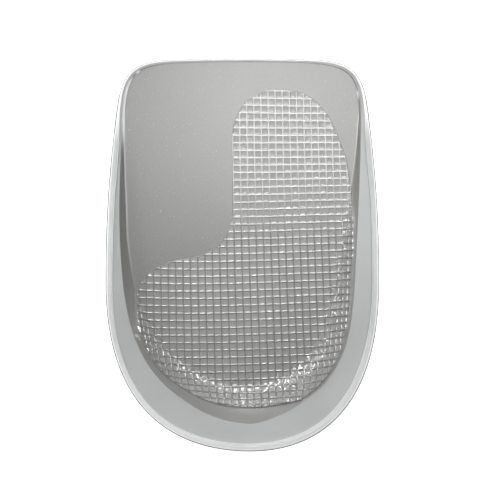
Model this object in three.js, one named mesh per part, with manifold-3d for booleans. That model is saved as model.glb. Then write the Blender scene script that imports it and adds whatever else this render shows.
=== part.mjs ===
// Heel cup: a soft gel cup worn in a shoe under the heel of the right foot.
// The real one is three pieces bonded together: a pale translucent cup, a grey lining that covers
// its floor and the lower part of its wall, and a J-shaped gel pad let into the lining.
// Millimetres, +Z up. X runs across the foot, +Y towards the toes, and the flat base is at Z = 0.

import * as THREE from 'three';
import { ParametricGeometry } from 'three/addons/geometries/ParametricGeometry.js';
import { mergeVertices } from 'three/addons/utils/BufferGeometryUtils.js';
import Module from 'manifold-3d';

// Outline of the rim, seen from above. The back of the heel lies a little to the right of the middle.
const LENGTH = 104.3;
const WIDTH = 72.6;
const WIDEST_FROM_HEEL = 45;
const FRONT_WIDTH = 67.4;
const CORNER_LENGTH = 15.7;
const CORNER_ACROSS = 18.3;
const FRONT_CROWN = 0.2;
const HEEL_SHIFT = 2.1;

// How far the handles of the outline's curves reach, as shares of each curve's run
const HEEL_ACROSS_PULL = 0.455;
const HEEL_ALONG_PULL = 0.815;
const SIDE_PULL = 0.38;
const CORNER_PULL = 0.8;

// Thicknesses. The lining and the pad lie in a recess of the cup with a small gap all round.
const BASE_AT_HEEL = 3.9;
const BASE_AT_FRONT = 0.6;
const LINING = 0.8;
const PAD_PROUD = 0.5;
const SEAT_GAP = 0.3;
const FRONT_LIP = 0.3;

// The wall and its section
const HEEL_HEIGHT = 24;
const RIM_WIDTH = 2;
const RIM_ROUND = 0.45;
const COLLAR_RUN = 5;
const BOWL_RUN = 11;
const OUTER_LEAN_DEG = 14;

// The base is smaller than the rim: its edge lies in by this share of the wall's height
const BASE_TAPER = 0.45;

// How far the handles of the outside wall's curve reach, as shares of its taper and of its height
const BASE_PULL = 0.55;
const OUTSIDE_PULL = 0.45;

// The floor is level under the heel and starts to fall here, as a share of the length from the middle
const RAMP_FROM = -0.25;

// Where the sections meet under the middle of the cup, as a share of the length from its middle
const POLE_ALONG = -0.025;

// Fineness of the facets
const HALF_STATIONS = 46;
const BOWL_STEPS = 5;
const FLOOR_STEPS = 4;
const OUTSIDE_STEPS = 7;
const RIM_ROUND_STEPS = 2;
const PAD_OUTLINE_STEPS = 80;
const MERGE_WITHIN = 1e-4;

// The wall round the cup. turn is the share of the way from the back of the heel (0) to the middle
// of the front edge (1), and rim the share of the rim's climb from the front edge to the heel. The
// pairs hold the right and the left side, which differ as a foot's do: lip is a share of RIM_WIDTH,
// collar of COLLAR_RUN and bowl of BOWL_RUN, and rise is the height of the lining's edge as a share
// of the wall.
const WALL = [
  { turn: 0.0, rim: 1.0, lip: [1.1, 1.1], collar: [1.0, 1.0], bowl: [1.0, 1.0], rise: [0.5, 0.5] },
  { turn: 0.07, rim: 0.992, lip: [1.18, 1.08], collar: [1.25, 1.14], bowl: [0.96, 0.93], rise: [0.37, 0.46] },
  { turn: 0.15, rim: 0.965, lip: [1.22, 1.0], collar: [1.33, 1.34], bowl: [0.88, 0.83], rise: [0.27, 0.4] },
  { turn: 0.22, rim: 0.925, lip: [1.18, 0.94], collar: [1.14, 1.26], bowl: [0.8, 0.72], rise: [0.31, 0.4] },
  { turn: 0.3, rim: 0.855, lip: [1.1, 0.92], collar: [0.96, 0.98], bowl: [0.69, 0.56], rise: [0.36, 0.46] },
  { turn: 0.39, rim: 0.74, lip: [1.0, 0.96], collar: [0.93, 0.66], bowl: [0.54, 0.36], rise: [0.35, 0.58] },
  { turn: 0.49, rim: 0.57, lip: [0.98, 1.0], collar: [0.77, 0.37], bowl: [0.35, 0.2], rise: [0.28, 0.64] },
  { turn: 0.57, rim: 0.42, lip: [0.93, 1.0], collar: [0.59, 0.23], bowl: [0.24, 0.17], rise: [0.27, 0.66] },
  { turn: 0.66, rim: 0.24, lip: [0.86, 0.88], collar: [0.33, 0.15], bowl: [0.12, 0.09], rise: [0.34, 0.62] },
  { turn: 0.74, rim: 0.1, lip: [0.55, 0.55], collar: [0.21, 0.12], bowl: [0.06, 0.055], rise: [0.42, 0.55] },
  { turn: 0.82, rim: 0.02, lip: [0.35, 0.35], collar: [0.11, 0.09], bowl: [0.05, 0.05], rise: [0.5, 0.5] },
  { turn: 0.9, rim: 0.0, lip: [0.3, 0.3], collar: [0.07, 0.07], bowl: [0.05, 0.05], rise: [0.5, 0.5] },
  { turn: 1.0, rim: 0.0, lip: [0.3, 0.3], collar: [0.07, 0.07], bowl: [0.05, 0.05], rise: [0.5, 0.5] },
];

// Outline of the pad, as shares of half the width and of the length from the middle of the cup. On
// the right it runs past the lining's edge, where the edge itself ends the pad.
const PAD_OUTLINE = [
  { across: 0.29, along: 0.42 }, // top of the upper lobe
  { across: 0.47, along: 0.406 },
  { across: 0.615, along: 0.36 },
  { across: 0.75, along: 0.248 },
  { across: 0.81, along: 0.129 },
  { across: 0.845, along: 0.04 },
  { across: 0.9, along: -0.06 },
  { across: 0.9, along: -0.17 },
  { across: 0.82, along: -0.265 },
  { across: 0.69, along: -0.325 },
  { across: 0.53, along: -0.36 }, // meets the lining's edge again
  { across: 0.3, along: -0.382 },
  { across: 0.07, along: -0.391 }, // back of the heel
  { across: -0.21, along: -0.38 },
  { across: -0.42, along: -0.346 },
  { across: -0.62, along: -0.29 },
  { across: -0.735, along: -0.223 },
  { across: -0.785, along: -0.14 },
  { across: -0.765, along: -0.085 },
  { across: -0.66, along: -0.04 }, // left arm
  { across: -0.5, along: -0.017 },
  { across: -0.31, along: -0.003 },
  { across: -0.16, along: 0.028 }, // inner corner
  { across: -0.085, along: 0.078 },
  { across: -0.072, along: 0.14 },
  { across: -0.074, along: 0.23 },
  { across: -0.068, along: 0.322 },
  { across: 0.01, along: 0.382 },
  { across: 0.14, along: 0.413 },
];

const wasm = await Module();
wasm.setup();

// The rim's outline on one side, from the back of the heel to the middle of the front edge.
function rimPath(side) {
  const back = -LENGTH / 2;
  const front = LENGTH / 2;
  const widest = new THREE.Vector2((side * WIDTH) / 2, back + WIDEST_FROM_HEEL);
  const corner = new THREE.Vector2((side * FRONT_WIDTH) / 2, front - CORNER_LENGTH);
  const cornerEnd = new THREE.Vector2(corner.x - side * CORNER_ACROSS, front - FRONT_CROWN);
  const sideRun = corner.y - widest.y;
  const slant = (2 * (widest.x - corner.x)) / sideRun;
  const path = new THREE.Path();
  path.moveTo(HEEL_SHIFT, back);
  path.bezierCurveTo(
    THREE.MathUtils.lerp(HEEL_SHIFT, widest.x, HEEL_ACROSS_PULL), back,
    widest.x, THREE.MathUtils.lerp(widest.y, back, HEEL_ALONG_PULL),
    widest.x, widest.y,
  );
  path.bezierCurveTo(
    widest.x, widest.y + SIDE_PULL * sideRun,
    corner.x + slant * SIDE_PULL * sideRun, corner.y - SIDE_PULL * sideRun,
    corner.x, corner.y,
  );
  path.bezierCurveTo(
    corner.x - slant * CORNER_PULL * CORNER_LENGTH, corner.y + CORNER_PULL * CORNER_LENGTH,
    cornerEnd.x + side * CORNER_PULL * CORNER_ACROSS, cornerEnd.y,
    cornerEnd.x, cornerEnd.y,
  );
  path.quadraticCurveTo(cornerEnd.x / 2, front, 0, front);
  return path;
}

// One column of the table as a smooth closed curve round the whole cup. way runs from 0 at the heel
// up the right side to 1 at the front, and down the left side to 2 at the heel again.
function aroundCup(column) {
  const last = WALL.length - 1;
  const knots = WALL.map((row) => ({ at: row.turn, value: column(row, 0) }));
  for (let i = last - 1; i > 0; i -= 1) {
    knots.push({ at: 2 - WALL[i].turn, value: column(WALL[i], 1) });
  }
  const knot = (i) => {
    const lap = Math.floor(i / knots.length);
    const plain = knots[i - lap * knots.length];
    return { at: plain.at + 2 * lap, value: plain.value };
  };
  const slope = (i) =>
    (knot(i + 1).value - knot(i - 1).value) / (knot(i + 1).at - knot(i - 1).at);
  return (way) => {
    let i = 0;
    while (knot(i + 1).at <= way) i += 1;
    const from = knot(i);
    const to = knot(i + 1);
    const span = to.at - from.at;
    const t = (way - from.at) / span;
    const blend = t * t * (3 - 2 * t);
    const easeOut = slope(i) * span * t * (1 - t) * (1 - t);
    const easeIn = slope(i + 1) * span * t * t * (1 - t);
    return THREE.MathUtils.lerp(from.value, to.value, blend) + easeOut - easeIn;
  };
}

const wall = {
  rim: aroundCup((row) => row.rim),
  lip: aroundCup((row, side) => row.lip[side]),
  collar: aroundCup((row, side) => row.collar[side]),
  bowl: aroundCup((row, side) => row.bowl[side]),
  rise: aroundCup((row, side) => row.rise[side]),
};

// Height of the lining's top: level under the heel, then a long ramp down to the front edge.
function floorHeight(y) {
  const share = THREE.MathUtils.smoothstep(y, RAMP_FROM * LENGTH, LENGTH / 2);
  return THREE.MathUtils.lerp(BASE_AT_HEEL, BASE_AT_FRONT, share) + SEAT_GAP + LINING;
}

// The stations round the rim, each with its place, its inward direction and its section's sizes.
function makeStations() {
  const frontHeight = BASE_AT_FRONT + SEAT_GAP + LINING + FRONT_LIP;
  const right = rimPath(1).getSpacedPoints(HALF_STATIONS);
  const left = rimPath(-1).getSpacedPoints(HALF_STATIONS);
  const places = [...right, ...left.slice(1, -1).reverse()];
  const count = places.length;
  return places.map((place, i) => {
    const along = places[(i + 1) % count].clone().sub(places[(i + count - 1) % count]).normalize();
    const inward = new THREE.Vector2(-along.y, along.x);
    const way = i / HALF_STATIONS;
    const rim = THREE.MathUtils.lerp(frontHeight, HEEL_HEIGHT, wall.rim(way));
    const lip = RIM_WIDTH * wall.lip(way);
    const ledge = lip + COLLAR_RUN * wall.collar(way);
    const bowl = BOWL_RUN * wall.bowl(way);
    const climb = wall.rise(way) * (rim - floorHeight(place.y + inward.y * ledge));
    return { place, inward, rim, lip, ledge, bowl, climb };
  });
}

const stations = makeStations();
const pole = new THREE.Vector2(0, POLE_ALONG * LENGTH);

// A point of a section: inset is how far inside the rim's outer edge it lies.
function sectionPoint({ place, inward }, inset, height) {
  return new THREE.Vector3(place.x + inward.x * inset, place.y + inward.y * inset, height);
}

// A point of the bowl, from the lining's edge (share 0) to the floor (share 1), sunk below the
// lining's top by sink, square to the surface.
function bowlPoint(station, share, sink) {
  const { ledge, bowl, climb } = station;
  const slope = (2 * climb * (1 - share)) / bowl;
  const size = Math.hypot(slope, 1);
  const inset = ledge + bowl * share;
  const floor = floorHeight(sectionPoint(station, inset, 0).y);
  const height = floor + climb * (1 - share) ** 2;
  return sectionPoint(station, inset - (sink * slope) / size, height - sink / size);
}

// The bowl and the floor of one station, from a share of the bowl's way to the pole.
function bowlAndFloor(station, firstShare, sink) {
  const points = [];
  for (let i = 0; i <= BOWL_STEPS; i += 1) {
    const share = THREE.MathUtils.lerp(firstShare, 1, i / BOWL_STEPS);
    points.push(bowlPoint(station, share, sink));
  }
  const foot = points[BOWL_STEPS];
  for (let i = 1; i <= FLOOR_STEPS; i += 1) {
    const x = THREE.MathUtils.lerp(foot.x, pole.x, i / FLOOR_STEPS);
    const y = THREE.MathUtils.lerp(foot.y, pole.y, i / FLOOR_STEPS);
    points.push(new THREE.Vector3(x, y, floorHeight(y) - sink));
  }
  return points;
}

// The steps of a rounded corner, as shares of its radius: side is how far a step stands off the
// flat that the corner ends on, and start how far it has come from the flat that it begins on.
function cornerSteps(steps) {
  return Array.from({ length: steps + 1 }, (_, i) => {
    const angle = (Math.PI / 2) * (i / steps);
    return { side: 1 - Math.sin(angle), start: 1 - Math.cos(angle) };
  });
}

// The outside of the wall, as inset and height: it swells from the edge of the base to the rim.
function outsideCurve(height) {
  const foot = BASE_TAPER * height;
  const lean = Math.tan(THREE.MathUtils.degToRad(OUTER_LEAN_DEG));
  return new THREE.CubicBezierCurve(
    new THREE.Vector2(foot, 0),
    new THREE.Vector2(foot * (1 - BASE_PULL), 0),
    new THREE.Vector2(lean * OUTSIDE_PULL * height, height * (1 - OUTSIDE_PULL)),
    new THREE.Vector2(0, height),
  );
}

// The cup's section, from the middle of the base, up the outside, over the rim, down the collar and
// along the recess to the middle. A thin or low rim takes a smaller rounding.
function cupSection(station) {
  const { rim, lip, ledge } = station;
  const edge = bowlPoint(station, 0, 0);
  const rimRound = Math.min(RIM_ROUND, lip / 3, (rim - edge.z) / 2);
  const shoulder = rim - rimRound;
  const outside = outsideCurve(shoulder).getPoints(OUTSIDE_STEPS);
  const middle = new THREE.Vector3(pole.x, pole.y, 0);
  const points = [middle, sectionPoint(station, outside[0].x, 0).lerp(middle, 0.5)];
  for (const { x, y } of outside) points.push(sectionPoint(station, x, y));
  for (const { side, start } of cornerSteps(RIM_ROUND_STEPS).slice(1)) {
    points.push(sectionPoint(station, rimRound * start, rim - rimRound * side));
  }
  for (const { side, start } of cornerSteps(RIM_ROUND_STEPS)) {
    points.push(sectionPoint(station, lip - rimRound * side, rim - rimRound * start));
  }
  points.push(sectionPoint(station, ledge, edge.z));
  return [...points, ...bowlAndFloor(station, 0, LINING + SEAT_GAP)];
}

// The section of a layer in the cup, LINING thick and standing proud of the lining's top by proud.
function layerSection(station, proud) {
  const firstShare = SEAT_GAP / Math.hypot(station.bowl, 2 * station.climb);
  const under = bowlAndFloor(station, firstShare, LINING).reverse();
  return [...under, ...bowlAndFloor(station, firstShare, -proud)];
}

// A closed surface through one section for each station. The sections begin and end at the pole.
function loft(sectionOf) {
  const sections = stations.map(sectionOf);
  const around = sections.length;
  const along = sections[0].length - 1;
  const geometry = new ParametricGeometry((u, v, target) => {
    const section = sections[Math.round(u * around) % around];
    target.copy(section[Math.round(v * along)]);
  }, around, along);
  return solidOf(geometry);
}

// A closed geometry as a solid, for joining and cutting.
function solidOf(geometry) {
  geometry.deleteAttribute('normal');
  geometry.deleteAttribute('uv');
  const merged = mergeVertices(geometry, MERGE_WITHIN);
  const corners = merged.getIndex().array;
  const kept = [];
  for (let i = 0; i < corners.length; i += 3) {
    const [a, b, c] = corners.slice(i, i + 3);
    if (a !== b && b !== c && c !== a) kept.push(a, b, c);
  }
  return new wasm.Manifold(new wasm.Mesh({
    numProp: 3,
    vertProperties: new Float32Array(merged.getAttribute('position').array),
    triVerts: new Uint32Array(kept),
  }));
}

// The pad's outline in plan, grown by a margin all round.
function padOutline(margin) {
  const knots = PAD_OUTLINE.map(
    ({ across, along }) => new THREE.Vector3((across * WIDTH) / 2, along * LENGTH, 0),
  );
  const curve = new THREE.CatmullRomCurve3(knots, true, 'centripetal');
  return Array.from({ length: PAD_OUTLINE_STEPS }, (_, i) => {
    const share = i / PAD_OUTLINE_STEPS;
    const point = curve.getPointAt(share);
    const along = curve.getTangentAt(share);
    return new THREE.Vector2(point.x - along.y * margin, point.y + along.x * margin);
  });
}

// An upright block of the pad's outline, tall enough to pass through every layer of the cup.
function padBlock(margin) {
  const depth = 2 * HEEL_HEIGHT;
  const shape = new THREE.Shape(padOutline(margin));
  const geometry = new THREE.ExtrudeGeometry(shape, { depth, bevelEnabled: false });
  geometry.translate(0, 0, -depth / 2);
  return solidOf(geometry);
}

// A named mesh of one solid.
function meshOf(name, solid, material) {
  const { vertProperties, triVerts } = solid.getMesh();
  const geometry = new THREE.BufferGeometry();
  geometry.setAttribute('position', new THREE.BufferAttribute(vertProperties, 3));
  geometry.setIndex(new THREE.BufferAttribute(triVerts, 1));
  geometry.computeVertexNormals();
  const mesh = new THREE.Mesh(geometry, material);
  mesh.name = name;
  return mesh;
}

// The pale translucent cup
function cupShell() {
  const gel = new THREE.MeshStandardMaterial({ color: 0xcdd1cf, roughness: 0.25, metalness: 0 });
  return meshOf('cup_shell', loft(cupSection), gel);
}

// The grey lining, cut out where the pad lies
function footbedLining() {
  const grey = new THREE.MeshStandardMaterial({ color: 0xa3a3a0, roughness: 0.3, metalness: 0 });
  const whole = loft((station) => layerSection(station, 0));
  return meshOf('footbed_lining', whole.subtract(padBlock(SEAT_GAP)), grey);
}

// The J-shaped pad, which stands proud of the lining
function gelPad() {
  const gel = new THREE.MeshStandardMaterial({ color: 0xb4b3af, roughness: 0.15, metalness: 0 });
  const whole = loft((station) => layerSection(station, PAD_PROUD));
  return meshOf('gel_pad', whole.intersect(padBlock(0)), gel);
}

const heelCup = new THREE.Group();
heelCup.add(cupShell(), footbedLining(), gelPad());

export default heelCup;
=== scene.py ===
import math
import random
from itertools import accumulate
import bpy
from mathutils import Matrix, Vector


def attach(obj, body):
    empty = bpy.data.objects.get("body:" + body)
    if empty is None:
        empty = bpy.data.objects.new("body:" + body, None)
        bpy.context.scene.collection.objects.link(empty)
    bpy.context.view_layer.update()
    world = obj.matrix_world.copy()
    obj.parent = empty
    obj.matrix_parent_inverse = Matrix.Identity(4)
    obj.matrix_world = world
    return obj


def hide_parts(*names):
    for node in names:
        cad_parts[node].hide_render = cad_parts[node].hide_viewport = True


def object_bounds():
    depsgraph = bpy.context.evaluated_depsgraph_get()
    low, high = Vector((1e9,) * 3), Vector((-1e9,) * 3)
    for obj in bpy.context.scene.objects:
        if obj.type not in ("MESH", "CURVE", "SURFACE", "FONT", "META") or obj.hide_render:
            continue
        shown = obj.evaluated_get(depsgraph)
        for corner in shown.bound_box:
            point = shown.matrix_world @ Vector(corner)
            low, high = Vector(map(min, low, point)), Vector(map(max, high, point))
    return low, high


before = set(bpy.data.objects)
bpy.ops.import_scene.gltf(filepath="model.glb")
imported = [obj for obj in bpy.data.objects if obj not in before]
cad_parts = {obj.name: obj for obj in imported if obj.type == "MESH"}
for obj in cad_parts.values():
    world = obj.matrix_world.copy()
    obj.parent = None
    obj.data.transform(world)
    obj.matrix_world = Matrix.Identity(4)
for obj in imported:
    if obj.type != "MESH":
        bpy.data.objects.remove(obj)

from types import SimpleNamespace

import bmesh
import bpy
from mathutils import Vector
from mathutils.geometry import interpolate_bezier
from mathutils.kdtree import KDTree

cad_low, cad_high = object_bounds()

# The cup lies flat on its base and is seen from straight above its foot side, toes up in the
# picture. The view is a little to the right of and in front of the cup's middle.
PICTURE_SPAN = 0.13265
PICTURE_MIDDLE = Vector((0.00202, 0.00122))
VIEW_HEIGHT = 5.5
RIM_MID_HEIGHT = 0.012

view_data = bpy.data.cameras.new("view_from_above")
view_data.sensor_width = 36
view_data.lens = view_data.sensor_width * (VIEW_HEIGHT - RIM_MID_HEIGHT) / PICTURE_SPAN
view_data.clip_start = 0.05
view_data.clip_end = 20
view_from_above = bpy.data.objects.new("view_from_above", view_data)
view_from_above.location = (PICTURE_MIDDLE.x, PICTURE_MIDDLE.y, VIEW_HEIGHT)
bpy.context.collection.objects.link(view_from_above)
bpy.context.scene.camera = view_from_above
bpy.context.scene.view_settings.view_transform = "Standard"


# The cup is one moulded piece of pale, slightly cloudy gel. It has a flat base, a thin front edge
# and a wall round the heel, whose rounded lip has fine lines along it and a bead at its inner edge.
MM = 0.001
length = cad_high.y - cad_low.y
width = cad_high.x - cad_low.x
height = cad_high.z
heel_shift = 2.1 * MM
widest_from_heel = 45 * MM
front_width = 67.4 * MM
corner_length = 15.7 * MM
corner_across = 18.3 * MM
front_crown = 0.2 * MM
rim_width = 2 * MM
collar_run = 5 * MM
bowl_run = 11 * MM
base_at_heel = 3.9 * MM
base_at_front = 0.6 * MM
lining_thickness = 0.8 * MM
seat_gap = 0.3 * MM
front_lip = 0.3 * MM
base_taper = 0.45
outer_lean = math.tan(math.radians(14))
pole = Vector((0, -0.025 * length))
CUP_STATIONS = 150
OUTSIDE_STEPS = 18

# How the wall changes from the back of the heel (turn 0) to the middle of the front edge (turn 1).
# rim is a share of the climb to the heel. The pairs are the right and the left side: the lip's,
# the collar's and the bowl's shares of their runs, and how far up the wall the lining goes.
# A station's way counts on from there, down the left side to 2 at the heel again.
wall = [
    # turn, rim, lip, collar, bowl, rise
    (0.00, 1.000, (1.10, 1.10), (1.00, 1.00), (1.00, 1.000), (0.50, 0.50)),
    (0.07, 0.992, (1.18, 1.08), (1.25, 1.14), (0.96, 0.930), (0.37, 0.46)),
    (0.15, 0.965, (1.22, 1.00), (1.33, 1.34), (0.88, 0.830), (0.27, 0.40)),
    (0.22, 0.925, (1.18, 0.94), (1.14, 1.26), (0.80, 0.720), (0.31, 0.40)),
    (0.30, 0.855, (1.10, 0.92), (0.96, 0.98), (0.69, 0.560), (0.36, 0.46)),
    (0.39, 0.740, (1.00, 0.96), (0.93, 0.66), (0.54, 0.360), (0.35, 0.58)),
    (0.49, 0.570, (0.98, 1.00), (0.77, 0.37), (0.35, 0.200), (0.28, 0.64)),
    (0.57, 0.420, (0.93, 1.00), (0.59, 0.23), (0.24, 0.170), (0.27, 0.66)),
    (0.66, 0.240, (0.95, 0.96), (0.27, 0.10), (0.12, 0.090), (0.34, 0.62)),
    (0.74, 0.100, (0.50, 0.46), (0.13, 0.09), (0.06, 0.055), (0.42, 0.55)),
    (0.82, 0.020, (0.34, 0.33), (0.07, 0.06), (0.045, 0.045), (0.50, 0.50)),
    (0.90, 0.000, (0.27, 0.27), (0.02, 0.02), (0.035, 0.035), (0.50, 0.50)),
    (1.00, 0.000, (0.27, 0.27), (0.02, 0.02), (0.035, 0.035), (0.50, 0.50)),
]

# The lip's top from its outer to its inner edge: share of its width, drop in millimetres, and
# tone, which is painted light and shade: -1 is the painted shade of the dark outer edge, 0 the
# plain gel, and 1 a painted white highlight; the fine lines are painted paler and darker in turn.
lip_drop = 0.62
lip_profile = [
    (0.000, lip_drop, -1.0), (0.010, 0.42, -1.0), (0.030, 0.26, -1.0), (0.060, 0.13, -1.0),
    (0.090, 0.06, -0.8), (0.120, 0.01, 0.0), (0.150, 0.00, 0.8), (0.210, 0.01, 1.0),
    (0.270, 0.03, 0.8), (0.320, 0.08, 0.2), (0.360, 0.04, 0.25), (0.420, 0.03, 0.3),
    (0.455, 0.07, 0.12), (0.490, 0.03, 0.25), (0.560, 0.02, 0.3), (0.620, 0.035, 0.28),
    (0.655, 0.08, 0.12), (0.690, 0.05, 0.25), (0.740, 0.08, 0.15), (0.775, 0.12, 0.1),
    (0.805, 0.05, 0.3), (0.850, 0.00, 0.55), (0.900, 0.02, 0.5), (0.945, 0.12, 0.2),
    (0.980, 0.29, 0.0), (1.000, 0.52, -0.1),
]


def evenly_spaced(points, count):
    """count + 1 points at equal steps along a line of many short pieces."""
    run = [0.0, *accumulate((b - a).length for a, b in zip(points, points[1:]))]
    spaced = []
    at = 0
    for i in range(count + 1):
        goal = run[-1] * i / count
        while at < len(run) - 2 and run[at + 1] < goal:
            at += 1
        share = (goal - run[at]) / (run[at + 1] - run[at])
        spaced.append(points[at].lerp(points[at + 1], share))
    return spaced


def rim_side(side, count):
    """The rim's outer edge on one side, from the back of the heel to the middle of the front."""
    back = Vector((heel_shift, -length / 2))
    widest = Vector((side * width / 2, back.y + widest_from_heel))
    corner = Vector((side * front_width / 2, length / 2 - corner_length))
    turned = Vector((corner.x - side * corner_across, length / 2 - front_crown))
    front = Vector((0, length / 2))
    crown = Vector((turned.x / 2, length / 2))
    run = corner.y - widest.y
    slant = 2 * (widest.x - corner.x) / run
    curves = [
        (
            back,
            Vector((back.x + 0.455 * (widest.x - back.x), back.y)),
            Vector((widest.x, widest.y + 0.815 * (back.y - widest.y))),
            widest,
        ),
        (
            widest,
            Vector((widest.x, widest.y + 0.38 * run)),
            Vector((corner.x + slant * 0.38 * run, corner.y - 0.38 * run)),
            corner,
        ),
        (
            corner,
            Vector((corner.x - slant * 0.8 * corner_length, corner.y + 0.8 * corner_length)),
            Vector((turned.x + side * 0.8 * corner_across, turned.y)),
            turned,
        ),
        (turned, turned.lerp(crown, 2 / 3), front.lerp(crown, 2 / 3), front),
    ]
    points = [back]
    for curve in curves:
        points.extend(interpolate_bezier(*curve, 300)[1:])
    return evenly_spaced([p.to_2d() for p in points], count)


def round_the_cup(right, left):
    """A smooth closed curve through one column of the wall table, round the whole cup."""
    knots = [(row[0], value) for row, value in zip(wall, right)]
    knots += [(2 - row[0], value) for row, value in list(zip(wall, left))[-2:0:-1]]

    def knot(i):
        lap, plain = divmod(i, len(knots))
        return knots[plain][0] + 2 * lap, knots[plain][1]

    def slope(i):
        return (knot(i + 1)[1] - knot(i - 1)[1]) / (knot(i + 1)[0] - knot(i - 1)[0])

    def value_at(way):
        i = 0
        while knot(i + 1)[0] <= way:
            i += 1
        span = knot(i + 1)[0] - knot(i)[0]
        t = (way - knot(i)[0]) / span
        plain = knot(i)[1] + (knot(i + 1)[1] - knot(i)[1]) * t * t * (3 - 2 * t)
        ease_out = slope(i) * span * t * (1 - t) ** 2
        ease_in = slope(i + 1) * span * t * t * (1 - t)
        return plain + ease_out - ease_in

    return value_at


rim_share = round_the_cup([row[1] for row in wall], [row[1] for row in wall])
lip_share, collar_share, bowl_share, rise_share = (
    round_the_cup([row[k][0] for row in wall], [row[k][1] for row in wall]) for k in range(2, 6)
)


def fade(value, start, end):
    """0 before start and 1 after end, with a smooth change between them."""
    share = min(max((value - start) / (end - start), 0.0), 1.0)
    return share * share * (3 - 2 * share)


def floor_height(y):
    """Height of the lining's top: level under the heel, then a long ramp down to the front."""
    ramp = fade(y, -0.25 * length, 0.5 * length)
    return base_at_heel + (base_at_front - base_at_heel) * ramp + seat_gap + lining_thickness


def stations_round(half):
    """half stations up each side of the rim, each with its place, inward direction and sizes."""
    right = rim_side(1, half)
    left = rim_side(-1, half)
    places = right + left[-2:0:-1]
    low_rim = base_at_front + seat_gap + lining_thickness + front_lip
    made = []
    for i, place in enumerate(places):
        along = (places[(i + 1) % len(places)] - places[i - 1]).normalized()
        inward = Vector((-along.y, along.x))
        way = i / half
        rim = low_rim + (height - low_rim) * rim_share(way)
        lip = rim_width * lip_share(way)
        ledge = lip + collar_run * collar_share(way)
        bowl = bowl_run * bowl_share(way)
        climb = rise_share(way) * (rim - floor_height(place.y + inward.y * ledge))
        made.append(SimpleNamespace(
            way=way, place=place, inward=inward, rim=rim, lip=lip, ledge=ledge, bowl=bowl,
            foot=ledge + bowl, climb=climb,
        ))
    return made


stations = stations_round(CUP_STATIONS)


def section_point(station, inset, up):
    """A point of a section: inset is how far inside the rim's outer edge it lies."""
    flat = station.place + station.inward * inset
    return Vector((flat.x, flat.y, up))


def bowl_point(station, share, sink):
    """A point from the lining's edge (0) to the floor (1), sunk square below the lining's top."""
    slope = 2 * station.climb * (1 - share) / station.bowl
    size = math.hypot(slope, 1)
    inset = station.ledge + station.bowl * share
    up = floor_height(section_point(station, inset, 0).y) + station.climb * (1 - share) ** 2
    return section_point(station, inset - sink * slope / size, up - sink / size)


def floor_points(station, first, sink, steps):
    """Points of the floor from inside the bowl's foot to just short of the middle."""
    start = section_point(station, station.foot + first, 0)
    points = []
    for i in range(steps):
        flat = start.lerp(pole.to_3d(), 0.99 * (i / (steps - 1)) ** 1.4)
        points.append(Vector((flat.x, flat.y, floor_height(flat.y) - sink)))
    return points


def outside_curve(up, steps):
    """The outside of the wall as inset and height, swelling from the base's edge to the rim."""
    foot = base_taper * up
    points = interpolate_bezier(
        Vector((foot, 0)), Vector((foot * 0.45, 0)), Vector((outer_lean * 0.45 * up, up * 0.55)),
        Vector((0, up)), steps,
    )
    return [(p.x, p.y) for p in points]


def cup_section(station):
    """From the base's middle, up the outside, over the lip, down the collar, under the lining."""
    edge = bowl_point(station, 0, 0)
    size = min(1, station.lip / rim_width, (station.rim - edge.z) / (1.2 * MM))
    outside = outside_curve(station.rim - lip_drop * MM * size, OUTSIDE_STEPS)
    base_edge = section_point(station, outside[0][0] + 0.25 * MM, 0)
    points = [(base_edge.lerp(pole.to_3d(), share), 0) for share in (0.98, 0.5, 0.1, 0)]
    points += [(section_point(station, inset, up), 0) for inset, up in outside[1:-2]]
    # The wall's last point under the lip is painted dark, the start of the painted shade at the
    # outline.
    points.append((section_point(station, *outside[-2]), -0.6))

    # The lip is painted whitest round the heel and where it is thinnest, painted light, and is
    # painted duller on the right side, a painted shade.
    high = rim_share(station.way)
    right = max(math.sin(math.pi * station.way), 0)
    thin = 1 - fade(station.lip / rim_width, 0.5, 0.95)
    for share, drop, tone in lip_profile:
        if 0.13 < share < 0.93:
            tone += 0.95 * fade(high, 0.72, 1) - 0.31 - 0.15 * right
            tone = min(max(tone, -0.2), 1.0)
            tone += (1 - tone) * thin
        inset = station.lip * share ** (1 - 0.35 * thin)
        point = section_point(station, inset, station.rim - drop * MM * size)
        points.append((point, tone))

    # The collar is a little hollow. Its tone is painted light where the wall is low and at the
    # sides, more so on the right, and painted shade round the heel.
    top = points[-1][0]
    foot = section_point(station, station.ledge, edge.z)
    hollow = station.inward.to_3d() * 0.14 * MM * size
    turn = min(station.way, 2 - station.way)
    side = fade(turn, 0.2, 0.55) * (1 - fade(turn, 0.7, 0.78))
    tone = 0.24 * (1 - high) + (0.22 + 0.13 * right) * side - 0.18 * fade(high, 0.85, 1)
    for share in (0.08, 0.2, 0.35, 0.5, 0.65, 0.8, 0.9, 0.96):
        points.append((top.lerp(foot, share) - hollow * math.sin(math.pi * share), tone))
    points.append((foot, tone))

    # From there on the gel lies hidden under the lining.
    points.append((bowl_point(station, 0, 0.25 * MM), 0))
    points += [(bowl_point(station, i / 8, lining_thickness), 0) for i in range(9)]
    points += [(point, 0) for point in floor_points(station, 0.5 * MM, lining_thickness, 5)]
    return points


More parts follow.
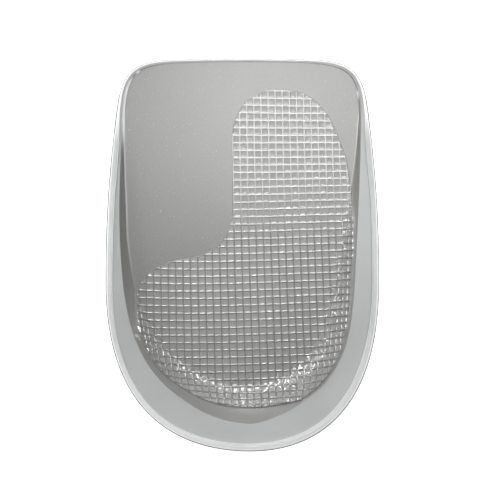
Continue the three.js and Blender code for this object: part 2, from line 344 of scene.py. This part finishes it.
def loft(sections):
    """A closed skin: a ring of edges drawn out from step to step, then shut at its two ends."""
    bm = bmesh.new()
    station_of = bm.verts.layers.int.new("station")
    tone_of = bm.verts.layers.float.new("tone")
    ring = bmesh.ops.create_circle(bm, cap_ends=False, segments=len(sections), radius=1)["verts"]
    for i, vert in enumerate(ring):
        vert[station_of] = i
        vert.co, vert[tone_of] = sections[i][0]
    edges = bm.edges[:]
    first_ring = ring
    for step in range(1, len(sections[0])):
        grown = bmesh.ops.extrude_edge_only(bm, edges=edges)["geom"]
        ring = [g for g in grown if isinstance(g, bmesh.types.BMVert)]
        for vert in ring:
            vert.co, vert[tone_of] = sections[vert[station_of]][step]
        fresh = set(ring)
        edges = [
            g for g in grown if isinstance(g, bmesh.types.BMEdge) and fresh.issuperset(g.verts)
        ]
    for end in (first_ring, ring):
        middle = Vector((pole.x, pole.y, end[0].co.z))
        bmesh.ops.pointmerge(bm, verts=end, merge_co=middle)
    bmesh.ops.recalc_face_normals(bm, faces=bm.faces)
    return bm


def soften(bm, crease_degrees=70):
    """Smooth shading, with only the edges that turn sharper than crease_degrees kept crisp."""
    for face in bm.faces:
        face.smooth = True
    for edge in bm.edges:
        edge.smooth = edge.calc_face_angle(0) < math.radians(crease_degrees)


def object_from(name, bm):
    """An object at the origin with the finished bmesh as its mesh."""
    mesh = bpy.data.meshes.new(name)
    bm.to_mesh(mesh)
    bm.free()
    made = bpy.data.objects.new(name, mesh)
    bpy.context.collection.objects.link(made)
    return made


def piece_from(name, bm, material):
    """A shown piece from a finished bmesh, riding on the cup's one body."""
    piece = object_from(name, bm)
    piece.data.materials.append(material)
    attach(piece, "root")
    return piece


class Finish:
    """One value of a material. Plain sums on it add the Math nodes that work them out."""

    def __init__(self, tree, socket=None):
        self.tree = tree
        self.socket = socket

    def node(self, kind, settings=None, sockets=None, out=0):
        """A new node of this kind, with the values or links that go into its sockets."""
        made = self.tree.nodes.new(kind)
        for name, value in (settings or {}).items():
            setattr(made, name, value)
        for name, value in (sockets or {}).items():
            self.feed(made.inputs[name], value)
        return Finish(self.tree, made.outputs[out])

    def feed(self, target, value):
        """Link this socket to the value, or set it where the value is a plain one."""
        if isinstance(value, Finish):
            self.tree.links.new(value.socket, target)
        else:
            target.default_value = value

    def worked_out(self, operation, first, second):
        return self.node("ShaderNodeMath", {"operation": operation}, {0: first, 1: second})

    def __add__(self, other):
        return self.worked_out("ADD", self, other)

    def __radd__(self, other):
        return self.worked_out("ADD", other, self)

    def __sub__(self, other):
        return self.worked_out("SUBTRACT", self, other)

    def __rsub__(self, other):
        return self.worked_out("SUBTRACT", other, self)

    def __mul__(self, other):
        return self.worked_out("MULTIPLY", self, other)

    def __rmul__(self, other):
        return self.worked_out("MULTIPLY", other, self)

    def __pow__(self, other):
        return self.worked_out("POWER", self, other)

    def clipped(self):
        """This value held between 0 and 1."""
        return self.node("ShaderNodeClamp", None, {"Value": self})

    def place(self):
        """The place of each point in the piece's own coordinates."""
        return self.node("ShaderNodeTexCoord", out=3)

    def attribute(self, name):
        """A number that the mesh holds for each of its points."""
        return self.node("ShaderNodeAttribute", {"attribute_name": name}, out=2)

    def noise(self, scale, detail, roughness):
        """Cloudy noise over this vector, between 0 and 1."""
        return self.node("ShaderNodeTexNoise", None, {
            "Vector": self, "Scale": scale, "Detail": detail, "Roughness": roughness,
        })

    def bump(self, strength, distance):
        """The surface's direction when it is raised by this value."""
        return self.node("ShaderNodeBump", None, {
            "Height": self, "Strength": strength, "Distance": distance,
        })

    def axis(self, number):
        """The X, Y or Z (0, 1 or 2) of this vector."""
        return self.node("ShaderNodeSeparateXYZ", None, {"Vector": self}, out=number)

    def colour_mix(self, first, second):
        """From the first colour where this value is 0 to the second where it is 1."""
        return self.node(
            "ShaderNodeMix", {"data_type": "RGBA"}, {0: self, 6: first, 7: second}, out=2,
        )


def new_finish(name, plain):
    """A material whose Principled shader has its even values set on its own sockets."""
    material = bpy.data.materials.new(name)
    material.use_nodes = True
    shader = material.node_tree.nodes["Principled BSDF"]
    for socket, value in plain.items():
        shader.inputs[socket].default_value = value
    return material, shader, Finish(material.node_tree)


cup_gel, shader, paint = new_finish("cloudy_gel", {
    "IOR": 1.43,
    "Subsurface Weight": 0.25,
    "Subsurface Radius": (1.0, 1.0, 1.0),
    "Subsurface Scale": 0.0025,
    "Coat Weight": 0.4,
    "Coat Roughness": 0.2,
})
where = paint.place()
cloud = where.noise(60.0, 3.0, 0.5)
grain = where.noise(2600.0, 2.0, 0.6)
tint = ((cloud - 0.35) * 3.0).clipped()
plain_gel = tint.colour_mix((0.535, 0.553, 0.548, 1), (0.57, 0.588, 0.583, 1))
# The tone paints light and shade into the gel's colour: towards white for the painted highlights
# and painted light, towards dark grey for the painted shade at the lip's outer edge.
tone = paint.attribute("tone")
paler = tone.clipped().colour_mix(plain_gel, (0.93, 0.935, 0.935, 1))
paint.feed(shader.inputs["Base Color"], (0 - tone).clipped().colour_mix(
    paler, (0.2, 0.2, 0.195, 1),
))
paint.feed(shader.inputs["Roughness"], 0.26 + 0.1 * cloud + 0.06 * grain)
paint.feed(shader.inputs["Normal"], grain.bump(0.12, 0.04 * MM))

cup_mesh = loft([cup_section(station) for station in stations])
soften(cup_mesh)
cup_body = piece_from("cup_body", cup_mesh, cup_gel)
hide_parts("cup_shell")


# A thin grey layer of firmer gel is bonded into the cup. It covers the floor and the lower part of
# the wall, ends in a crisp edge on the collar, and a fine moulded ridge marks the wall's foot.
ridge_height = 0.15 * MM
ridge_half = 0.2 * MM
foot_steps = (-0.55, -0.4, -0.3, -0.2, -0.1, 0.0, 0.1, 0.2, 0.3, 0.4, 0.55)

lining_grey, shader, paint = new_finish("satin_grey_gel", {
    "IOR": 1.58,
    "Subsurface Weight": 0.08,
    "Subsurface Radius": (1.0, 1.0, 1.0),
    "Subsurface Scale": 0.001,
    "Coat Weight": 1.0,
    "Coat IOR": 1.5,
    "Coat Roughness": 0.34,
})
where = paint.place()
cloud = where.noise(45.0, 3.0, 0.5)
grain = where.noise(3000.0, 2.0, 0.65)
tint = (cloud + (grain - 0.5) * 1.2).clipped()

# The grey is painted deeper on the left of the floor, a painted shade, and the gel holds fine pale
# specks.
across = where.axis(0)
ahead = where.axis(1)
left = ((0 - across) * 30.0).clipped() * (0.5 + ahead * 40.0).clipped()
speck = ((grain - 0.66) * 9.0).clipped()
plain_grey = tint.colour_mix((0.228, 0.228, 0.221, 1), (0.276, 0.276, 0.268, 1))
plain_grey = left.colour_mix(plain_grey, (0.172, 0.172, 0.167, 1))
plain_grey = speck.colour_mix(plain_grey, (0.5, 0.5, 0.49, 1))
# Where the tone is high the layer is painted white: painted highlights on the crease and the ridge,
# painted light on the steep strip and along the front.
tone = paint.attribute("tone")
paint.feed(shader.inputs["Base Color"], tone.clipped().colour_mix(
    plain_grey, (0.93, 0.935, 0.935, 1),
))
paint.feed(shader.inputs["Roughness"], 0.3 + 0.06 * cloud + 0.06 * grain)
paint.feed(shader.inputs["Normal"], grain.bump(0.2, 0.04 * MM))


def crease_highlight(way):
    """How much painted highlight the layer's edge gets: a white crease at the left front and spots
    at both front corners.
    """
    white = fade(way, 1.197, 1.212) * (1 - fade(way, 1.29, 1.35))
    spot = fade(way, 1.18, 1.184) * (1 - fade(way, 1.19, 1.194))
    right_spot = 0.8 * fade(way, 0.75, 0.755) * (1 - fade(way, 0.762, 0.767))
    return max(white, spot, right_spot)


def ridge_and_highlight(way):
    """How high the ridge at the wall's foot is and how much painted highlight it gets: clear in
    front, fading back.
    """
    if way < 1:
        return max(crease_highlight(way), 0.5 * fade(way, 0.5, 0.66) * (1 - fade(way, 0.7, 0.73)))
    return max(crease_highlight(way), 0.4 * (1 - fade(way, 1.35, 1.6)) * fade(way, 1.28, 1.34))


def lining_section(station):
    """Round the layer: from under its middle out to its edge, and back over its top."""
    under = floor_points(station, 0.6 * MM, lining_thickness, 5)[::-1]
    under += [bowl_point(station, 1 - i / 10, lining_thickness * 0.98) for i in range(11)]
    points = [(point, 0) for point in under]

    # The edge is rounded over one unit, which is 1 mm or most of a narrower strip, and turns
    # crisper towards the front. From it the layer runs down the wall to just above the foot.
    width_here = math.hypot(station.bowl, 2 * station.climb)
    turn = min(station.way, 2 - station.way)
    crisp = MM * (1 - 0.9 * fade(turn, 0.5, 0.7))
    last_share = 1 - min(0.75 * MM / station.bowl, 0.4)
    unit = min(MM, 0.8 * width_here) / width_here
    first_share = 0.45 * unit
    over = [
        (0.05 * unit, 0.3 * crisp), (0.08 * unit, 0.12 * crisp), (0.16 * unit, 0.03 * crisp),
        (0.3 * unit, 0),
    ]
    over += [(first_share + (last_share - first_share) * i / 8, 0) for i in range(9)]
    # The strip is painted paler where it slopes steeply and along the front, painted light, and the
    # crease gets its painted highlight.
    crease = crease_highlight(station.way)
    for share, sink in over:
        slope = 2 * station.climb * (1 - share) / station.bowl
        pale = 0.06 * slope / math.hypot(1, slope) + 0.6 * fade(turn, 0.66, 0.78)
        points.append((bowl_point(station, share, sink), max(pale, crease)))

    # The ridge stands astride the foot, with its wall side drawn in where the strip is narrow.
    squeeze = min(1, 0.5 * station.bowl / (foot_steps[-1] * MM))
    # The ridge's crest is painted white, a painted highlight, like the crease beside it.
    tone = ridge_and_highlight(station.way)
    for step in foot_steps:
        off = step * MM * (squeeze if step < 0 else 1)
        rise = math.exp(-(step * MM / ridge_half) ** 2)
        lift = ridge_height * min(1, 1.6 * tone) * rise
        if off < 0:
            white = max(tone * rise, crease)
            points.append((bowl_point(station, 1 + off / station.bowl, -lift), white))
        else:
            flat = section_point(station, station.foot + off, 0)
            up = floor_height(flat.y) + lift
            points.append((Vector((flat.x, flat.y, up)), tone * rise))
    points += [(point, 0) for point in floor_points(station, 0.8 * MM, 0, 10)]
    return points


lining_mesh = loft([lining_section(station) for station in stations])
soften(lining_mesh)
grey_lining = piece_from("grey_lining", lining_mesh, lining_grey)
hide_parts("footbed_lining")


# The J-shaped pad is clear soft gel, cast with a square grid of rounded ribs, and let into the
# lining. It is cast flat, so its grid runs straight on the floor and rolls up on to the wall.
pad_proud = 0.5 * MM
rib_height = 0.24 * MM
pad_under = -0.35 * MM
grid_across = 38
grid_along = 54
grid_middle = (-3, 6, 0)
slab_margin = 2.6 * MM
side_lean = 0.3 * MM
cutter_top = 1.6 * MM
cutter_under = -1.0 * MM

# Each cell is let down from the ribs' tops in steps: millimetres inward and millimetres down.
rib_steps = [
    (0.05, -0.004), (0.05, -0.011), (0.05, -0.02), (0.05, -0.11), (0.04, -0.07), (0.05, -0.02),
    (0.06, -0.005),
]
cell_round = 0.3 * MM

# The floor of a cell is a little uneven, and more so where the pad is bent up the wall.
floor_tilt = 0.01 * MM
wall_tilt = 0.06 * MM

# Where the ribs cross on the flat pad, as sums of powers of the cell counts across and along (in
# tens of cells): the soft grid is a little askew, and tighter towards the wall and the toes.
crossing = [
    # across, along, millimetres in X, millimetres in Y
    (0, 0, 8.008, -9.331), (0, 1, -0.663, 19.472), (0, 2, 0.068, -0.085), (0, 3, 0.003, 0.047),
    (1, 0, 19.536, 0.768), (1, 1, -0.202, -0.072), (1, 2, -0.012, -0.143), (2, 0, -0.3, 0.125),
    (2, 1, 0.064, 0.016), (3, 0, -0.13, -0.14),
]

# The pad seen from above, in half widths and in lengths of the cup.
pad_outline = [
    (0.29, 0.42), (0.47, 0.406), (0.615, 0.36), (0.75, 0.248), (0.81, 0.129), (0.845, 0.04),
    (0.9, -0.06), (0.9, -0.17), (0.82, -0.265), (0.69, -0.325), (0.53, -0.36), (0.3, -0.382),
    (0.07, -0.391), (-0.21, -0.38), (-0.42, -0.346), (-0.62, -0.29), (-0.735, -0.223),
    (-0.785, -0.14), (-0.765, -0.085), (-0.66, -0.04), (-0.5, -0.017), (-0.31, -0.003),
    (-0.16, 0.028), (-0.085, 0.078), (-0.072, 0.14), (-0.074, 0.23), (-0.068, 0.322),
    (0.01, 0.382), (0.14, 0.413),
]

FINE_STATIONS = 1600
fine_stations = stations_round(FINE_STATIONS)
rim_tree = KDTree(len(fine_stations))
for i, station in enumerate(fine_stations):
    rim_tree.insert(station.place.to_3d(), i)
rim_tree.balance()


def climbed(station, t):
    """Length of the way up the bowl's curve over a plan distance t from its foot."""
    bend = station.climb / station.bowl ** 2
    return t / 2 * math.hypot(1, 2 * bend * t) + math.asinh(2 * bend * t) / (4 * bend)


def laid_flat(point):
    """A place seen from above, moved to where it lies when the pad is laid flat."""
    _, index, inset = rim_tree.find(point.to_3d())
    station = fine_stations[index]
    inset = max(inset, station.ledge + 0.5 * MM)
    if inset >= station.foot:
        return point.copy()
    return station.place + station.inward * (station.foot - climbed(station, station.foot - inset))


def rolled_up(flat):
    """A point of the flat pad, put on the cup's floor or rolled up on to its wall."""
    _, index, inset = rim_tree.find((flat.x, flat.y, 0))
    station = fine_stations[index]
    if inset >= station.foot:
        return Vector((flat.x, flat.y, floor_height(flat.y) + flat.z))
    run = station.foot - inset
    bend = station.climb / station.bowl ** 2
    t = run / math.hypot(1, bend * run)
    for _ in range(5):
        t -= (climbed(station, t) - run) / math.hypot(1, 2 * bend * t)
    slope = 2 * bend * t
    size = math.hypot(1, slope)
    at = section_point(station, station.foot - t + flat.z * slope / size, 0)
    base = section_point(station, station.foot - t, 0)
    return Vector((at.x, at.y, floor_height(base.y) + bend * t * t + flat.z / size))


def smooth_loop(knots, steps):
    """A closed round-cornered curve through the knots."""
    count = len(knots)
    points = []
    for i in range(count):
        a, b, c, d = (knots[(i + k) % count] for k in (-1, 0, 1, 2))
        ab, bc, cd = (math.sqrt((q - p).length) for p, q in ((a, b), (b, c), (c, d)))
        leave = ((b - a) / ab - (c - a) / (ab + bc) + (c - b) / bc) * bc
        arrive = ((c - b) / bc - (d - b) / (bc + cd) + (d - c) / cd) * bc
        curve = interpolate_bezier(b, b + leave / 3, c - arrive / 3, c, steps + 1)
        points += [p.to_2d() for p in curve[:-1]]
    return points


outline_knots = [Vector((x * width / 2, y * length)) for x, y in pad_outline]
flat_outline = [laid_flat(point) for point in smooth_loop(outline_knots, 14)]


def pad_cutter():
    """An upright block of the pad's flat outline, whose sides lean in a little to the top."""
    loop = flat_outline
    count = len(loop)
    out = []
    for i in range(count):
        along = (loop[(i + 1) % count] - loop[i - 1]).normalized()
        out.append(Vector((along.y, -along.x)))
    turned = sum(a.cross(b) for a, b in zip(loop, loop[1:] + loop[:1]))
    if turned < 0:
        out = [-o for o in out]
    bm = bmesh.new()
    order = bm.verts.layers.int.new("order")
    ring = bmesh.ops.create_circle(bm, cap_ends=True, segments=count, radius=1)["verts"]
    for i, vert in enumerate(ring):
        vert[order] = i
    grown = bmesh.ops.extrude_face_region(bm, geom=bm.faces[:])["geom"]
    top = {g for g in grown if isinstance(g, bmesh.types.BMVert)}
    for vert in bm.verts:
        i = vert[order]
        spot = loop[i] + out[i] * (-side_lean if vert in top else side_lean)
        vert.co = (spot.x, spot.y, cutter_top if vert in top else cutter_under)
    bmesh.ops.recalc_face_normals(bm, faces=bm.faces)
    return bm


def near_the_pad(point, reach):
    """Whether a flat point is inside the pad's outline, or within reach of it."""
    inside = False
    for a, b in zip(flat_outline, flat_outline[1:] + flat_outline[:1]):
        if (a - point).length < reach:
            return True
        if (a.y > point.y) != (b.y > point.y):
            if point.x < a.x + (b.x - a.x) * (point.y - a.y) / (b.y - a.y):
                inside = not inside
    return inside


def waffle_slab():
    """A flat slab of gel with the ribbed grid on its top, a little larger than the pad."""
    bm = bmesh.new()
    bmesh.ops.create_grid(bm, x_segments=grid_across, y_segments=grid_along, size=0.5)
    bmesh.ops.scale(bm, vec=(grid_across, grid_along, 1), verts=bm.verts)
    bmesh.ops.translate(bm, vec=grid_middle, verts=bm.verts)
    for vert in bm.verts:
        a = vert.co.x / 10
        b = vert.co.y / 10
        x = sum(a ** i * b ** j * in_x for i, j, in_x, in_y in crossing)
        y = sum(a ** i * b ** j * in_y for i, j, in_x, in_y in crossing)
        vert.co = (x * MM, y * MM, pad_proud + rib_height)
    far = [f for f in bm.faces if not near_the_pad(f.calc_center_median().to_2d(), slab_margin)]
    bmesh.ops.delete(bm, geom=far, context="FACES")
    cell_of = bm.faces.layers.int.new("cell")
    cells = bm.faces[:]
    grown = bmesh.ops.extrude_face_region(bm, geom=cells)["geom"]
    for vert in (g for g in grown if isinstance(g, bmesh.types.BMVert)):
        vert.co.z = pad_under
    bmesh.ops.recalc_face_normals(bm, faces=bm.faces)
    for cell in cells:
        cell[cell_of] = 1
    inset, drop = rib_steps[0]
    made = bmesh.ops.inset_individual(
        bm, faces=cells, thickness=inset * MM, depth=drop * MM, use_even_offset=True,
    )
    for face in made["faces"]:
        face[cell_of] = 0
    corners = list({vert for cell in bm.faces if cell[cell_of] for vert in cell.verts})
    bmesh.ops.bevel(
        bm, geom=corners, offset=cell_round, affect="VERTICES", segments=2, profile=0.5,
        material=-1,
    )
    rounded_corners = 12
    cells = [face for face in bm.faces if len(face.verts) == rounded_corners]
    for inset, drop in rib_steps[1:]:
        bmesh.ops.inset_individual(
            bm, faces=cells, thickness=inset * MM, depth=drop * MM, use_even_offset=True,
        )
    chance = random.Random(11)
    hubs = bmesh.ops.poke(bm, faces=cells)["verts"]
    for vert in hubs:
        _, index, inset = rim_tree.find((vert.co.x, vert.co.y, 0))
        tilt = wall_tilt if inset < fine_stations[index].foot else floor_tilt
        vert.co.z += chance.uniform(-tilt, tilt)
        for edge in vert.link_edges:
            edge.other_vert(vert).co.z += chance.uniform(-tilt, tilt) / 2
    return bm


slab = object_from("slab", waffle_slab())
cutter = object_from("cutter", pad_cutter())
cut = slab.modifiers.new("cut", "BOOLEAN")
cut.operation = "INTERSECT"
cut.solver = "EXACT"
cut.object = cutter
shaped = slab.evaluated_get(bpy.context.evaluated_depsgraph_get())
pad_mesh = bmesh.new()
pad_mesh.from_mesh(shaped.to_mesh())
shaped.to_mesh_clear()
for done in (slab, cutter):
    bpy.data.objects.remove(done)

# rib is 1 on top of the ribs and 0 on the floors of the cells.
rib = pad_mesh.verts.layers.float.new("rib")
for vert in pad_mesh.verts:
    vert[rib] = min(max((vert.co.z - pad_proud) / rib_height, 0.0), 1.0)
    vert.co = rolled_up(vert.co)

pad_gel, shader, paint = new_finish("clear_waffle_gel", {
    "IOR": 1.75,
    "Subsurface Weight": 0.15,
    "Subsurface Radius": (1.0, 1.0, 1.0),
    "Subsurface Scale": 0.001,
    "Coat IOR": 1.8,
    "Coat Roughness": 0.1,
})
where = paint.place()
rib_share = paint.attribute("rib")
cloud = where.noise(160.0, 3.0, 0.55)
ripple = where.noise(1500.0, 2.0, 0.6)
tint = ((cloud - 0.35) * 3.0).clipped()

# The gel is painted deeper grey on the left, a painted shade. In front its ribs are painted pale, a
# painted highlight, and are duller, and the bend up the heel is duller too.
across = where.axis(0)
ahead = where.axis(1)
left = ((0 - across - 0.01) * 60.0).clipped()
front = ((ahead - 0.004) * 50.0).clipped()
heel = ((0 - ahead - 0.03) * 200.0).clipped() * ((0.012 - across) * 60.0).clipped()
cell_floor = tint.colour_mix((0.37, 0.37, 0.36, 1), (0.41, 0.41, 0.4, 1))
cell_floor = left.colour_mix(cell_floor, (0.29, 0.29, 0.282, 1))
cell_floor = front.colour_mix(cell_floor, (0.385, 0.385, 0.376, 1))
rib_top_and_highlight = front.colour_mix((0.28, 0.28, 0.27, 1), (0.73, 0.73, 0.715, 1))
paint.feed(shader.inputs["Base Color"], rib_share.colour_mix(cell_floor, rib_top_and_highlight))
paint.feed(shader.inputs["Roughness"], 0.46 + 0.06 * ripple - 0.24 * rib_share + 0.12 * front)
paint.feed(shader.inputs["Coat Weight"], 1.0 - 0.65 * front - 0.5 * heel)
paint.feed(shader.inputs["Normal"], ripple.bump(0.35, 0.08 * MM))

soften(pad_mesh, crease_degrees=60)
waffle_pad = piece_from("waffle_pad", pad_mesh, pad_gel)
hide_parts("gel_pad")


# The cup lies on a wide white table. The light washes it out, so that the cup stands in plain
# white with no edge or corner of the table in sight.
table_mesh = bmesh.new()
bmesh.ops.create_grid(table_mesh, x_segments=1, y_segments=1, size=2.5)
table_white, shader, paint = new_finish("washed_out_white", {
    "Base Color": (0.9, 0.9, 0.9, 1),
    "Roughness": 0.8,
    "Emission Color": (1, 1, 1, 1),
    "Emission Strength": 0.9,
})
table = object_from("table", table_mesh)
table.data.materials.append(table_white)


# A small lamp hangs close over the toes and four more stand further off, round the cup. The room
# is pale grey and brightest low down, which lights the wall and leaves the cup's floor dim.
room = bpy.data.worlds.new("pale_room")
bpy.context.scene.world = room
room.use_nodes = True
sky = Finish(room.node_tree)
toward = sky.node("ShaderNodeTexCoord", out=0)
level = toward.axis(2)
glow = (1.0 - (level * 3.2).clipped()) ** 2.0
sky.feed(room.node_tree.nodes["Background"].inputs["Strength"], 0.35 + 1.3 * glow)


def soft_light(name, place, size, power):
    """A square lamp that faces the middle of the cup."""
    data = bpy.data.lights.new(name, "AREA")
    data.shape = "SQUARE"
    data.size = size
    data.energy = power
    lamp = bpy.data.objects.new(name, data)
    lamp.location = place
    lamp.visible_camera = False
    lamp.rotation_euler = (-Vector(place)).to_track_quat("-Z", "Y").to_euler()
    bpy.context.collection.objects.link(lamp)


soft_light("lamp_over_the_toes", (0.006, 0.1, 0.2), 0.08, 0.31)
soft_light("left_lamp", (-0.4, 0.3, 0.4), 0.15, 0.9)
soft_light("right_lamp", (0.6, 0.0, 0.33), 0.08, 0.4)
soft_light("low_front_lamp", (0.0, 0.7, 0.1), 0.12, 0.8)
soft_light("heel_lamp", (0.0, -0.5, 0.35), 0.4, 0.55)
